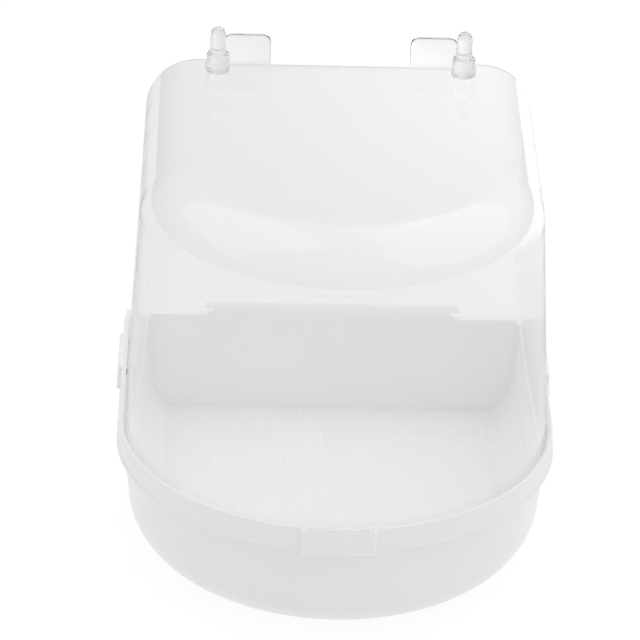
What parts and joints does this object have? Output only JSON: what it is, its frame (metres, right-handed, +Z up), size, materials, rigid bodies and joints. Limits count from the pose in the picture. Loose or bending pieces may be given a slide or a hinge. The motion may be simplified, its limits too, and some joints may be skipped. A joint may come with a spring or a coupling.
{
  "type": "cage bird bath",
  "caption": "Hang-on cage bird bath: white D-shaped basin with a sill hook, clear lift-off hood open at the back, wire plates and pegs on its roof.",
  "frame": {"origin": "middle of the footprint, on the plane the basin stands on", "axes": "+Z up, +Y towards the cage (the flat open back), +X to the bath's right seen from its round front"},
  "size_m": [0.1434, 0.1528, 0.1492],
  "materials": {
    "basin": "white moulded polypropylene, fine satin",
    "hood": "clear moulded polystyrene, polished",
    "pegs": "clear moulded polystyrene, polished"
  },
  "bodies": {
    "basin": {"basin_tray": "basin"},
    "hood": {"clear_hood": "hood", "left_wire_peg": "pegs", "right_wire_peg": "pegs"}
  },
  "joints": [
    {"name": "hood_lift", "type": "slide", "parent": "basin", "child": "hood", "axis": [0, 0, 1], "range_m": [0, 0.06]}
  ]
}
